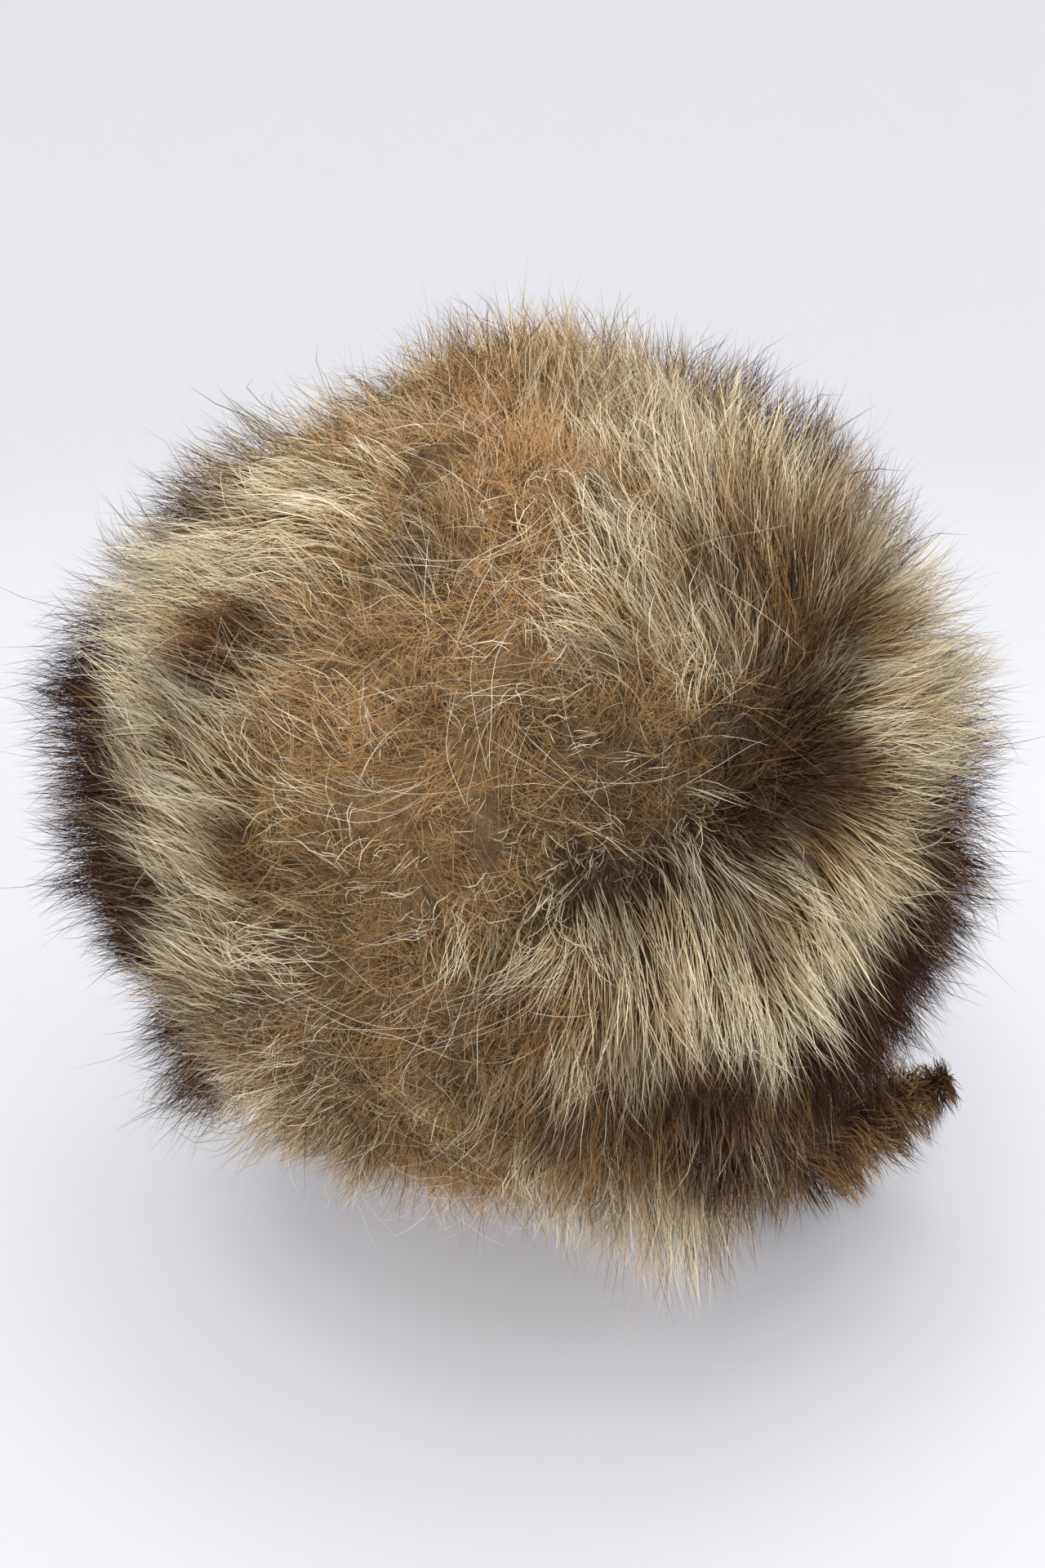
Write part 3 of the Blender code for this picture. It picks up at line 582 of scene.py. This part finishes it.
def ribbon_mesh(name, points, widths, facing, out, values, gloss=1.0):
    """Hairs as tapered ribbons, each ending in a point. values are one number for each point of each hair.

    gloss is how much each hair is lit on its own, and not as a part of the coat.
    """
    count, rows, _ = points.shape
    along = unit(np.gradient(points, axis=1))
    across = unit(np.cross(along, facing[:, None, :]))
    half = across[:, :-1] * widths[:, :-1, None] / 2
    pairs = np.stack((points[:, :-1] - half, points[:, :-1] + half), axis=2).reshape(count, -1, 3)
    verts = np.concatenate((pairs, points[:, -1:]), axis=1).reshape(-1, 3)
    per_hair = 2 * rows - 1
    first = np.arange(count)[:, None] * per_hair
    quads = np.concatenate([first + 2 * row + np.array((0, 1, 3, 2)) for row in range(rows - 2)])
    tips = first + per_hair + np.array((-3, -2, -1))
    loops = np.concatenate((quads.ravel(), tips.ravel()))
    mesh = bpy.data.meshes.new(name)
    mesh.vertices.add(len(verts))
    mesh.vertices.foreach_set("co", verts.astype(np.float32).ravel())
    mesh.loops.add(len(loops))
    mesh.loops.foreach_set("vertex_index", loops.astype(np.int32))
    mesh.polygons.add(len(quads) + len(tips))
    starts = np.concatenate((np.arange(len(quads)) * 4, len(quads) * 4 + np.arange(len(tips)) * 3))
    mesh.polygons.foreach_set("loop_start", starts.astype(np.int32))
    mesh.update(calc_edges=True)
    for label, value in values.items():
        layer = mesh.attributes.new(label, "FLOAT", "POINT")
        layer.data.foreach_set("value", per_vertex(value).astype(np.float32).ravel())
    add_strip_map(mesh, count, rows, loops)
    leaning = unit(out[:, None, :] - along * (along * out[:, None, :]).sum(axis=-1, keepdims=True))
    turned = unit(facing[:, None, :] - along * (along * facing[:, None, :]).sum(axis=-1, keepdims=True))
    normals = unit(out[:, None, :] * (1.2 - gloss) + leaning * 0.45 * gloss + turned * 0.35 * gloss)
    normals = np.concatenate((np.repeat(normals[:, :-1], 2, axis=1), normals[:, -1:]), axis=1)
    mesh.normals_split_custom_set_from_vertices(normals.reshape(-1, 3))
    return mesh


def per_vertex(value):
    """One number for each point of each hair as one for each of its ribbon's corners."""
    return np.concatenate((np.repeat(value[:, :-1], 2, axis=1), value[:, -1:]), axis=1)


def add_strip_map(mesh, count, rows, loops):
    """A map with one upright strip for each hair, in an even grid of strips."""
    columns = int(math.sqrt(count * 2)) + 1
    lines = count // columns + 1
    hair = np.arange(count)[:, None]
    share = np.linspace(0, 1, rows)
    side = per_vertex(np.zeros((count, rows)))
    side[:, 0:-1:2] = -0.3
    side[:, 1::2] = 0.3
    u = (hair % columns + 0.5 + side) / columns
    v = (hair // columns + 0.06 + 0.88 * per_vertex(np.tile(share, (count, 1)))) / lines
    layer = mesh.uv_layers.new(name="OFBake")
    flat = np.stack((u.ravel(), v.ravel()), axis=-1)[loops]
    layer.uv.foreach_set("vector", flat.astype(np.float32).ravel())


def linear(red, green, blue):
    """A colour read from 0 to 255, as the shader needs it."""
    shares = [value / 255 for value in (red, green, blue)]
    return (*(s / 12.92 if s <= 0.04045 else ((s + 0.055) / 1.055) ** 2.4 for s in shares), 1)


class Nodes:
    """A material's nodes, with one short call for each kind that is used here."""

    def __init__(self, name, roughness):
        self.material = bpy.data.materials.new(name)
        self.material.use_nodes = True
        self.tree = self.material.node_tree
        self.surface = self.tree.nodes["Principled BSDF"]
        self.surface.inputs["Roughness"].default_value = roughness

    def put(self, source, socket):
        if isinstance(source, bpy.types.NodeSocket):
            self.tree.links.new(source, socket)
        else:
            socket.default_value = source

    def attribute(self, name):
        node = self.tree.nodes.new("ShaderNodeAttribute")
        node.attribute_name = name
        return node.outputs["Fac"]

    def math(self, operation, first, second):
        node = self.tree.nodes.new("ShaderNodeMath")
        node.operation = operation
        self.put(first, node.inputs[0])
        self.put(second, node.inputs[1])
        return node.outputs[0]

    def smooth(self, value, low, high):
        node = self.tree.nodes.new("ShaderNodeMapRange")
        node.interpolation_type = "SMOOTHSTEP"
        self.put(value, node.inputs["Value"])
        self.put(low, node.inputs["From Min"])
        self.put(high, node.inputs["From Max"])
        return node.outputs["Result"]

    def mix(self, share, first, second, blend="MIX"):
        node = self.tree.nodes.new("ShaderNodeMix")
        node.data_type = "RGBA"
        node.blend_type = blend
        self.put(share, node.inputs[0])
        self.put(first, node.inputs[6])
        self.put(second, node.inputs[7])
        return node.outputs[2]

    def ramp(self, value, stops):
        node = self.tree.nodes.new("ShaderNodeValToRGB")
        self.put(value, node.inputs["Fac"])
        elements = node.color_ramp.elements
        while len(elements) < len(stops):
            elements.new(0.5)
        for element, (place, colour) in zip(elements, stops):
            element.position = place
            element.color = colour
        return node.outputs["Color"]

    def noise(self, scale, detail, roughness, distortion=0.0):
        place = self.tree.nodes.new("ShaderNodeTexCoord")
        node = self.tree.nodes.new("ShaderNodeTexNoise")
        self.tree.links.new(place.outputs["Object"], node.inputs["Vector"])
        node.inputs["Scale"].default_value = scale
        node.inputs["Detail"].default_value = detail
        node.inputs["Roughness"].default_value = roughness
        node.inputs["Distortion"].default_value = distortion
        return node.outputs["Fac"]

    def grey(self, value):
        node = self.tree.nodes.new("ShaderNodeCombineColor")
        for index in range(3):
            self.put(value, node.inputs[index])
        return node.outputs["Color"]

    def bump(self, height, strength, distance):
        node = self.tree.nodes.new("ShaderNodeBump")
        node.inputs["Strength"].default_value = strength
        node.inputs["Distance"].default_value = distance
        self.put(height, node.inputs["Height"])
        self.tree.links.new(node.outputs["Normal"], self.surface.inputs["Normal"])

    def colour(self, source):
        self.put(source, self.surface.inputs["Base Color"])


HairLook = namedtuple("HairLook", "name brown pale dark dark_from dark_to roughness")
GUARD_LOOK = HairLook(
    "guard hair",
    ((0.00, linear(58, 36, 20)), (0.30, linear(112, 76, 45)), (0.70, linear(152, 111, 67)), (1.00, linear(182, 143, 95))),
    ((0.00, linear(84, 54, 29)), (0.18, linear(150, 107, 60)), (0.42, linear(226, 203, 158)), (1.00, linear(252, 243, 216))),
    linear(56, 33, 26),
    0.16,
    0.44,
    0.45,
)
LOOSE_LOOK = HairLook(
    "loose hair",
    ((0.00, linear(176, 148, 112)), (1.00, linear(214, 194, 162))),
    ((0.00, linear(226, 206, 170)), (0.60, linear(246, 236, 212)), (1.00, linear(253, 249, 238))),
    linear(56, 33, 26),
    0.50,
    1.00,
    0.40,
)
WOOL_LOOK = HairLook(
    "woolly underfur",
    ((0.00, linear(58, 40, 25)), (0.50, linear(78, 54, 33)), (1.00, linear(92, 65, 40))),
    ((0.00, linear(154, 118, 77)), (0.50, linear(180, 141, 95)), (1.00, linear(202, 164, 115))),
    linear(52, 31, 23),
    0.60,
    1.20,
    0.90,
)
TAIL_LOOK = HairLook(
    "tail hair",
    ((0.00, linear(72, 50, 33)), (0.50, linear(122, 88, 55)), (1.00, linear(156, 118, 79))),
    ((0.00, linear(96, 68, 42)), (0.50, linear(158, 118, 72)), (1.00, linear(206, 168, 112))),
    linear(56, 37, 26),
    -0.30,
    0.45,
    0.50,
)


def hair_material(look):
    """Hair that is brown at its root, paler along its length and dark at some tips."""
    nodes = Nodes(look.name, look.roughness)
    along = nodes.attribute("along")
    body = nodes.mix(nodes.attribute("cream"), nodes.ramp(along, look.brown), nodes.ramp(along, look.pale))
    tip = nodes.math("MULTIPLY", nodes.smooth(along, look.dark_from, look.dark_to), nodes.attribute("dark"))
    tipped = nodes.mix(tip, body, look.dark)
    nodes.colour(nodes.mix(1.0, tipped, nodes.grey(nodes.attribute("shade")), "MULTIPLY"))
    nodes.surface.inputs["Specular IOR Level"].default_value = 0.03
    return nodes.material


def under_material():
    """The mass of the underfur, seen between its hairs: cloudy, with fine fibres and painted shade."""
    nodes = Nodes("underfur depths", 0.95)
    fibres = nodes.noise(520, 6, 0.75, 2.5)
    clouds = nodes.noise(110, 4, 0.6, 0.8)
    share = nodes.math("ADD", nodes.math("MULTIPLY", clouds, 0.45), nodes.math("MULTIPLY", fibres, 0.55))
    # Painted shade in part: the dark brown stands for the shade deep among the hairs, and the clouds for shaded
    # hollows besides the underfur's own mottled tone; the tan is its own colour.
    brown = nodes.ramp(share, ((0.36, linear(34, 23, 14)), (0.50, linear(70, 48, 29)), (0.64, linear(100, 71, 44))))
    tan = nodes.ramp(share, ((0.36, linear(92, 64, 39)), (0.50, linear(156, 119, 77)), (0.64, linear(202, 164, 115))))
    body = nodes.mix(nodes.attribute("wool"), brown, tan)
    # Painted shade: the colour is darkened in partings by the light attribute.
    nodes.colour(nodes.mix(1.0, body, nodes.grey(nodes.attribute("light")), "MULTIPLY"))
    nodes.bump(fibres, 0.9, 0.002)
    return nodes.material


def suede_material():
    """The leather side of the pelt."""
    nodes = Nodes("pelt suede", 0.85)
    nap = nodes.noise(1400, 4, 0.7)
    share = nodes.math("ADD", nodes.math("MULTIPLY", nodes.noise(30, 4, 0.6), 0.7), nodes.math("MULTIPLY", nap, 0.3))
    nodes.colour(nodes.ramp(share, ((0.30, linear(170, 138, 104)), (0.55, linear(196, 166, 130)), (0.80, linear(212, 186, 152)))))
    nodes.bump(nap, 0.4, 0.0006)
    return nodes.material


def add_piece(name, mesh, material, replaced=()):
    item = bpy.data.objects.new(name, mesh)
    bpy.context.scene.collection.objects.link(item)
    mesh.materials.append(material)
    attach(item, "root")
    if replaced:
        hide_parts(*replaced)
    return item


def tapered(rows, width):
    """Widths along a hair: nearly even, then drawn to a point."""
    return width[:, None] * np.clip(1.25 - np.linspace(0, 1, rows) ** 3, 0, 1)


def hair_values(points, ground, shade, patch_seed, own_dark, own_cream):
    """The numbers that the hair material reads, at each point of each hair. Its own are added to the chart's."""
    count, rows, _ = points.shape
    tint = tint_at(points.reshape(-1, 3)).reshape(count, rows, 2)
    patch = soft_noise(points[:, -1], 0.020, patch_seed)
    even = np.ones((count, rows))
    cream = tint[..., 1] + patch[:, :1] * 0.16 + own_cream[:, None]
    dark = tint[..., 0] + patch[:, 1:2] * 0.16 + own_dark[:, None]
    return {
        "along": np.linspace(0, 1, rows) * even,
        # shade is each hair's own tone times painted shade in partings.
        "shade": (shade * (0.35 + 0.65 * ground.light))[:, None] * even,
        "cream": np.clip((cream - 0.5) * 1.4 + 0.5, 0, 1),
        "dark": np.clip((dark - 0.5) * 2.2 + 0.5, 0, 1),
    }


def guard_hair(name, belongs, count, material, seed, replaced):
    """The long guard hair of one panel: hairs drawn together in tufts, and the tufts in locks."""
    chance = np.random.default_rng(seed)
    steps = 4

    def hairs(number, spread, wild, strays=0.0):
        ground = sample_ground(belongs, number, lambda places: (0.03 + places.lie["guard"]) * (2.4 - 1.4 * places.light), chance)
        start = ground.depth * 0.96
        length = ground.length * chance.uniform(1 - spread, 1.04, number) - start
        stray = chance.uniform(0, 1, number) < strays
        length = length * np.where(stray, 1.25, 1)
        calm = 1.7 - 0.9 * ground.column("guard")
        tilt = soft_noise(ground.root, 0.03, 11) * 0.22 + soft_noise(ground.root, 0.012, 12) * 0.28
        tilt = (tilt + chance.normal(size=(number, 3)) * np.where(stray, 0.45, wild)[:, None]) * calm
        return ground, grow(ground, start, length, steps, tilt, chance), stray

    lock_count = count // 45
    tuft_count = count // 9
    _, locks, _ = hairs(lock_count, 0.35, 0.14)
    _, tufts, _ = hairs(tuft_count, 0.32, 0.24)
    tufts, lock_of = gather(tufts, locks, chance.uniform(0.3, 0.85, tuft_count))
    ground, points, stray = hairs(count, 0.30, 0.16, 0.03)
    strength = np.where(stray, 0.1, chance.uniform(0.2, 0.9, count))
    points, tuft_of = gather(points, tufts, strength)
    points = inside_limits(points)
    lock_shade = chance.uniform(0.74, 1.14, lock_count)[lock_of]
    tuft_shade = (lock_shade * chance.uniform(0.82, 1.10, tuft_count))[tuft_of]
    shade = tuft_shade * chance.uniform(0.76, 1.18, count)
    facing = unit(ground.out + chance.normal(size=(count, 3)) * 0.6)
    widths = tapered(steps + 1, chance.uniform(0.00015, 0.00028, count))
    lock_dark = chance.uniform(-0.24, 0.20, lock_count)[lock_of]
    lock_cream = chance.uniform(-0.34, 0.24, lock_count)[lock_of]
    own_dark = (lock_dark + chance.uniform(-0.14, 0.14, tuft_count))[tuft_of] + chance.uniform(-0.18, 0.18, count)
    own_cream = (lock_cream + chance.uniform(-0.18, 0.18, tuft_count))[tuft_of] + chance.uniform(-0.22, 0.22, count)
    values = hair_values(points, ground, shade, 31, own_dark, own_cream)
    hidden_share = 0.45 + 0.55 * np.clip(ground.column("guard"), 0, 1)
    values["along"] = 1 - (1 - values["along"]) * hidden_share
    mesh = ribbon_mesh(name, points, widths, facing, ground.out, values)
    return add_piece(name, mesh, material, replaced)


def woolly_hair(name, belongs, count, material, seed):
    """Short curly underfur that rises out of the coat and shows where guard hair is thin."""
    chance = np.random.default_rng(seed)
    steps = 3

    def density(places):
        hidden = places.lie["guard"] * places.lie["length"] / LONGEST_HAIR
        return np.clip(1.25 - 1.3 * hidden, 0.08, 2) + 1.2 * (1 - places.light)

    ground = sample_ground(belongs, count, density, chance)
    start = ground.depth * chance.uniform(0.94, 1.03, count)
    length = chance.uniform(0.007, 0.017, count)
    swirl = soft_noise(ground.root, 0.024, 21) * 0.9 + soft_noise(ground.root, 0.008, 22) * 0.5
    way = unit(ground.out * 0.15 + ground.comb * 0.6 + swirl + chance.normal(size=(count, 3)) * 0.3)
    bend = chance.normal(size=(count, 3)) * 0.45
    share = np.linspace(0, 1, steps + 1)[None, :, None]
    line = way[:, None, :] * share + bend[:, None, :] * share**2
    points = inside_limits(ground.within(start)[:, None, :] + line * length[:, None, None])
    # Painted shade in part: these patches of lighter and darker wool stand for its lit tops and shaded hollows
    # besides its own mottled tone.
    fluff_tone_and_shade = soft_noise(ground.root, 0.007, 23)[:, 0] * 0.20 + soft_noise(ground.root, 0.020, 24)[:, 0] * 0.24
    shade = 1.12 + fluff_tone_and_shade + chance.uniform(-0.08, 0.08, count)
    facing = unit(ground.out + chance.normal(size=(count, 3)) * 0.5)
    widths = tapered(steps + 1, chance.uniform(0.00009, 0.00018, count))
    values = hair_values(points, ground, shade, 32, np.zeros(count), np.zeros(count))
    values["cream"] = np.clip(ground.column("wool") + swirl[:, :1] * 0.1, 0, 1) * np.ones((1, steps + 1))
    mesh = ribbon_mesh(name, points, widths, facing, ground.out, values, 0.15)
    return add_piece(name, mesh, material)


def loose_hair(name, belongs, count, material, seed):
    """Long pale hairs that cross over the woolly parts, a few together."""
    chance = np.random.default_rng(seed)
    steps = 7
    tufts = count // 5
    middle = sample_ground(belongs, tufts, lambda places: np.clip(1.15 - places.lie["guard"], 0.05, 1), chance)
    tuft = chance.integers(0, tufts, count)
    ground = Ground(middle.cube[tuft])
    length = chance.uniform(0.022, 0.046, tufts)[tuft] * chance.uniform(0.6, 1.1, count)
    way = ground.comb * 1.1 + chance.normal(size=(tufts, 3))[tuft] * 0.55 + chance.normal(size=(count, 3)) * 0.16
    way = unit(way - ground.out * (way * ground.out).sum(axis=-1, keepdims=True))
    rise = chance.uniform(0.1, 0.6, (count, 1))
    turn = chance.normal(size=(tufts, 1))[tuft] * 0.30 + chance.normal(size=(count, 1)) * 0.15
    bend = np.cross(ground.out, way) * turn - ground.out * rise * 0.8
    share = np.linspace(0, 1, steps + 1)[None, :, None]
    spread = chance.normal(size=(count, 3)) * 0.004
    line = unit(way + ground.out * rise)[:, None, :] * share + bend[:, None, :] * share**2
    phase = chance.uniform(0, math.tau, (count, 1, 1))
    line = line + chance.normal(size=(count, 1, 3)) * 0.020 * np.sin(share * math.tau * 1.2 + phase)
    points = inside_limits((ground.within(ground.depth) + spread)[:, None, :] + line * length[:, None, None])
    shade = chance.uniform(1.0, 1.2, count)
    facing = unit(ground.out + chance.normal(size=(count, 3)) * 0.3)
    widths = tapered(steps + 1, chance.uniform(0.00005, 0.00010, count))
    values = hair_values(points, ground, shade, 33, np.full(count, -1.0), np.full(count, 1.0))
    mesh = ribbon_mesh(name, points, widths, facing, ground.out, values)
    return add_piece(name, mesh, material)


def coat(name, belongs, cells, material):
    """The mass of the underfur over one panel: a closed solid from the pelt to the woolly tips."""
    points, quads = panel_grid(cells, belongs)
    ground = Ground(points)
    lumps = soft_noise(ground.root, 0.016, 41)[:, 0] * 0.10 + soft_noise(ground.root, 0.007, 42)[:, 0] * 0.07
    tops = ground.within(ground.depth * (0.94 + lumps))
    count = len(points)
    sides = np.concatenate([quads[:, [corner, (corner + 1) % 4]] for corner in range(4)])
    _, first, times = np.unique(np.sort(sides, axis=1), axis=0, return_index=True, return_counts=True)
    rim = sides[first[times == 1]]
    walls = np.stack((rim[:, 0], rim[:, 1], rim[:, 1] + count, rim[:, 0] + count), axis=-1)
    faces = np.concatenate((quads[:, ::-1], quads + count, walls))
    mesh = bpy.data.meshes.new(name)
    mesh.from_pydata(np.concatenate((ground.root, tops)).tolist(), [], faces.tolist())
    mesh.shade_smooth()
    # light carries the painted shade of partings into the underfur's colour.
    for label, values in (("wool", ground.lie["wool"]), ("light", ground.light)):
        layer = mesh.attributes.new(label, "FLOAT", "POINT")
        layer.data.foreach_set("value", np.tile(values, 2).astype(np.float32))
    return add_piece(name, mesh, material)


def panel_grid(cells, belongs):
    """The cube's cells that belong to a panel: their corners on the cube and the four corners of each."""
    edge = np.linspace(-1, 1, cells + 1)
    a, b = np.meshgrid(edge, edge)
    middle_a, middle_b = np.meshgrid(edge[:-1] + 1 / cells, edge[:-1] + 1 / cells)
    grids = []
    quads = []
    for index, side in enumerate(SIDES):
        number = index * (cells + 1) ** 2 + np.arange((cells + 1) ** 2).reshape(cells + 1, cells + 1)
        corners = np.stack((number[:-1, :-1], number[:-1, 1:], number[1:, 1:], number[1:, :-1]), axis=-1)
        grids.append(cube_side(side, a, b).reshape(-1, 3))
        quads.append(corners[belongs(cube_side(side, middle_a, middle_b))])
    points, same = np.unique(np.round(np.concatenate(grids), 6), axis=0, return_inverse=True)
    used, quads = np.unique(same.ravel()[np.concatenate(quads)], return_inverse=True)
    return points[used], quads.reshape(-1, 4)


def add_pelt():
    """The leather side, smooth where the frame's shell is faceted."""
    points, quads = panel_grid(32, lambda places: places[..., 0] < 2)
    mesh = bpy.data.meshes.new("pelt_leather")
    mesh.from_pydata(inner_points(*place_of(points)).tolist(), [], quads.tolist())
    mesh.shade_smooth()
    item = add_piece("pelt_leather", mesh, suede_material(), ("pelt_shell",))
    wall = item.modifiers.new("leather", "SOLIDIFY")
    wall.thickness = PELT_THICKNESS
    wall.offset = 1
    return item


def tail_knots():
    """The tail's route from its root inside the hem to its tip: points and radii."""
    azimuth = np.full(2, TAIL_AZIMUTH)
    levels = np.array((TAIL_ROOT_LEVEL, 1.0))
    hem = inner_points(azimuth, levels) - outward(azimuth, levels) * TAIL_ROOT_INSET
    steps = np.array([(bend.right, bend.forward, bend.up) for bend in TAIL_BENDS]) * TAIL_LENGTH
    points = np.concatenate((hem, hem[-1] + steps))
    radii = np.array([TAIL_ROOT_THICKNESS / 2] * 2 + [bend.thickness * TAIL_THICKNESS / 2 for bend in TAIL_BENDS])
    points = np.concatenate((points[:1] * 2 - points[1:2], points, points[-1:] * 2 - points[-2:-1]))
    return points, np.concatenate((radii[:1], radii, radii[-1:]))


def tail_at(along):
    """The tail's middle, radius and way ahead at shares of its length."""
    points, radii = tail_knots()
    spans = len(radii) - 3
    place = np.clip(along, 0, 1) * spans
    index = np.minimum(place.astype(int), spans - 1)
    share = place - index
    four = [index, index + 1, index + 2, index + 3]
    middle = curve_between(*(points[i] for i in four), share[:, None])
    ahead = curve_between(*(points[i] for i in four), share[:, None] + 0.02) - middle
    radius = curve_between(*(radii[i] for i in four), share)
    return middle, np.maximum(radius, TAIL_ROOT_THICKNESS / 4), unit(ahead)


def around_tail(along, angle):
    middle, radius, ahead = tail_at(along)
    side = unit(np.cross(ahead, np.array((0.0, 0.0, 1.0))))
    normal = np.cos(angle)[:, None] * side + np.sin(angle)[:, None] * np.cross(side, ahead)
    return middle, radius, ahead, normal


def add_tail_core(material):
    """The skin of the tail under its hair."""
    rows = 60
    around = 14
    along = np.repeat(np.linspace(0, 1, rows), around)
    angle = np.tile(np.linspace(0, math.tau, around, endpoint=False), rows)
    middle, radius, _, normal = around_tail(along, angle)
    bare = np.clip((along - TAIL_BARE_SHARE) * 8, 0, 1)
    verts = middle + normal * (radius * (1 - 0.4 * bare))[:, None]
    number = np.arange(rows * around).reshape(rows, around)
    turned = np.roll(number, -1, axis=1)
    quads = np.stack((number[:-1], number[1:], turned[1:], turned[:-1]), axis=-1).reshape(-1, 4)
    ends = [number[0].tolist(), number[-1][::-1].tolist()]
    mesh = bpy.data.meshes.new("tail_core")
    mesh.from_pydata(verts.tolist(), [], quads.tolist() + ends)
    mesh.shade_smooth()
    return add_piece("tail_core", mesh, material)


def add_tail_hair(count, material):
    """The tail's hair, in dark and tan rings."""
    chance = np.random.default_rng(301)
    steps = 4

    def hairs(number):
        along = chance.uniform(TAIL_HIDDEN_SHARE, 1, number)
        angle = chance.uniform(0, math.tau, number)
        middle, radius, ahead, normal = around_tail(along, angle)
        root = middle + normal * (radius * 0.55)[:, None]
        slim = np.clip((along - TAIL_HIDDEN_SHARE) / (TAIL_BARE_SHARE - TAIL_HIDDEN_SHARE), 0.25, 1) * (1 - 0.4 * along**6)
        length = radius * 0.5 + TAIL_HAIR * slim * chance.uniform(0.7, 1.7, number)
        way = normal * 0.75 + ahead * 0.40 - np.array((0, 0, TAIL_HAIR_SAG)) + chance.normal(size=(number, 3)) * 0.30
        share = np.linspace(0, 1, steps + 1)[None, :, None]
        sag = np.array((0, 0, -0.35))
        points = root[:, None, :] + (unit(way)[:, None, :] * share + sag * share**2) * length[:, None, None]
        return along, normal, points

    _, _, clumps = hairs(count // 22)
    along, normal, points = hairs(count)
    points, nearest = gather(points, clumps, chance.uniform(0.3, 1.0, count))
    rings = np.sin((along - TAIL_BARE_SHARE) / (1 - TAIL_BARE_SHARE) * TAIL_RINGS * math.tau)
    mottle = chance.normal(size=count // 22)[nearest] * 0.40
    even = np.ones((1, steps + 1))
    values = {
        "along": np.linspace(0, 1, steps + 1) * np.ones((count, 1)),
        "shade": (chance.uniform(0.9, 1.2, count // 22)[nearest] * chance.uniform(0.8, 1.15, count))[:, None] * even,
        "cream": chance.uniform(0.0, 0.8, count)[:, None] * even,
        "dark": np.clip(0.26 - rings * 0.6 + mottle + chance.normal(size=count) * 0.2, 0, 1)[:, None] * even,
    }
    facing = unit(normal + chance.normal(size=(count, 3)) * 0.6)
    widths = tapered(steps + 1, chance.uniform(0.00020, 0.00036, count))
    mesh = ribbon_mesh("tail_hair", points, widths, facing, normal, values)
    return add_piece("tail_hair", mesh, material, ("ringed_tail",))


def add_camera():
    data = bpy.data.cameras.new("camera")
    data.lens = VIEW_LENS
    data.sensor_width = VIEW_SENSOR
    item = bpy.data.objects.new("camera", data)
    bpy.context.scene.collection.objects.link(item)
    back = Vector((0, -math.cos(VIEW_ELEVATION), math.sin(VIEW_ELEVATION)))
    item.location = Vector(VIEW_TARGET) + back * VIEW_DISTANCE
    item.rotation_euler = (math.radians(90) - VIEW_ELEVATION, 0, 0)
    bpy.context.scene.camera = item


def add_floor():
    """A pale round floor that sweeps up on all sides."""
    flat_radius = 1.2
    bend_radius = 1.2
    top = 3.0
    turns = [math.radians(90) * step / 16 for step in range(17)]
    profile = [(flat_radius + bend_radius * math.sin(turn), bend_radius * (1 - math.cos(turn))) for turn in turns]
    profile.append((flat_radius + bend_radius, top))
    around = 96
    angles = [math.tau * step / around for step in range(around)]
    verts = [(reach * math.sin(a), reach * math.cos(a), up - TABLE_DROP) for reach, up in profile for a in angles]
    faces = [list(range(around))[::-1]]
    for row in range(len(profile) - 1):
        for step in range(around):
            turned = (step + 1) % around
            low = row * around
            faces.append((low + step, low + turned, low + around + turned, low + around + step))
    mesh = bpy.data.meshes.new("floor")
    mesh.from_pydata(verts, [], faces)
    mesh.shade_smooth()
    item = bpy.data.objects.new("floor", mesh)
    bpy.context.scene.collection.objects.link(item)
    nodes = Nodes("studio floor", 0.9)
    nodes.colour(linear(222, 222, 225))
    mesh.materials.append(nodes.material)


Lamp = namedtuple("Lamp", "name place size power")
LAMPS = (
    Lamp("key", (-0.7, -0.9, 1.8), 1.4, 22),
    Lamp("fill", (1.4, -0.7, 1.1), 1.6, 12),
    Lamp("top", (0.1, 0.5, 1.9), 2.0, 16),
    Lamp("front", (0.3, -1.7, 1.1), 1.8, 7),
)


def add_light():
    """Soft studio light, most of it from the upper left."""
    world = bpy.data.worlds.new("studio")
    world.use_nodes = True
    backdrop = world.node_tree.nodes["Background"]
    backdrop.inputs["Color"].default_value = linear(240, 241, 245)
    backdrop.inputs["Strength"].default_value = 0.66
    bpy.context.scene.world = world
    for lamp in LAMPS:
        light = bpy.data.lights.new(lamp.name, "AREA")
        light.size = lamp.size
        light.energy = lamp.power
        item = bpy.data.objects.new(lamp.name, light)
        bpy.context.scene.collection.objects.link(item)
        item.location = lamp.place
        item.visible_camera = False
        item.rotation_euler = (Vector(VIEW_TARGET) - Vector(lamp.place)).to_track_quat("-Z", "Y").to_euler()
    bpy.context.scene.view_settings.view_transform = "Standard"


Panel = namedtuple("Panel", "name belongs slot node guards wools loose")
PANELS = (
    Panel("left", in_left, "fur_left", "fur_left_panel", 25000, 33500, 560),
    Panel("right_upper", in_right_upper, "fur_right_upper", "fur_right_upper_panel", 18500, 17000, 260),
    Panel("right_lower", in_right_lower, "fur_right_lower", "fur_right_lower_panel", 18000, 9000, 120),
    Panel("band", in_band, "fur_band", "fur_nape_band", 13500, 11500, 230),
)


def main():
    add_camera()
    add_floor()
    add_light()
    add_pelt()
    under = under_material()
    guard = hair_material(GUARD_LOOK)
    wool = hair_material(WOOL_LOOK)
    loose = hair_material(LOOSE_LOOK)
    for seed, panel in enumerate(PANELS):
        coat(f"underfur_{panel.name}", panel.belongs, 28, under)
        guard_hair(f"guard_hair_{panel.name}", panel.belongs, panel.guards, guard, 100 + seed, (panel.node,))
        woolly_hair(f"woolly_hair_{panel.name}", panel.belongs, panel.wools, wool, 200 + seed)
        loose_hair(f"loose_hair_{panel.name}", panel.belongs, panel.loose, loose, 400 + seed)
    add_tail_core(under)
    add_tail_hair(8500, hair_material(TAIL_LOOK))


main()
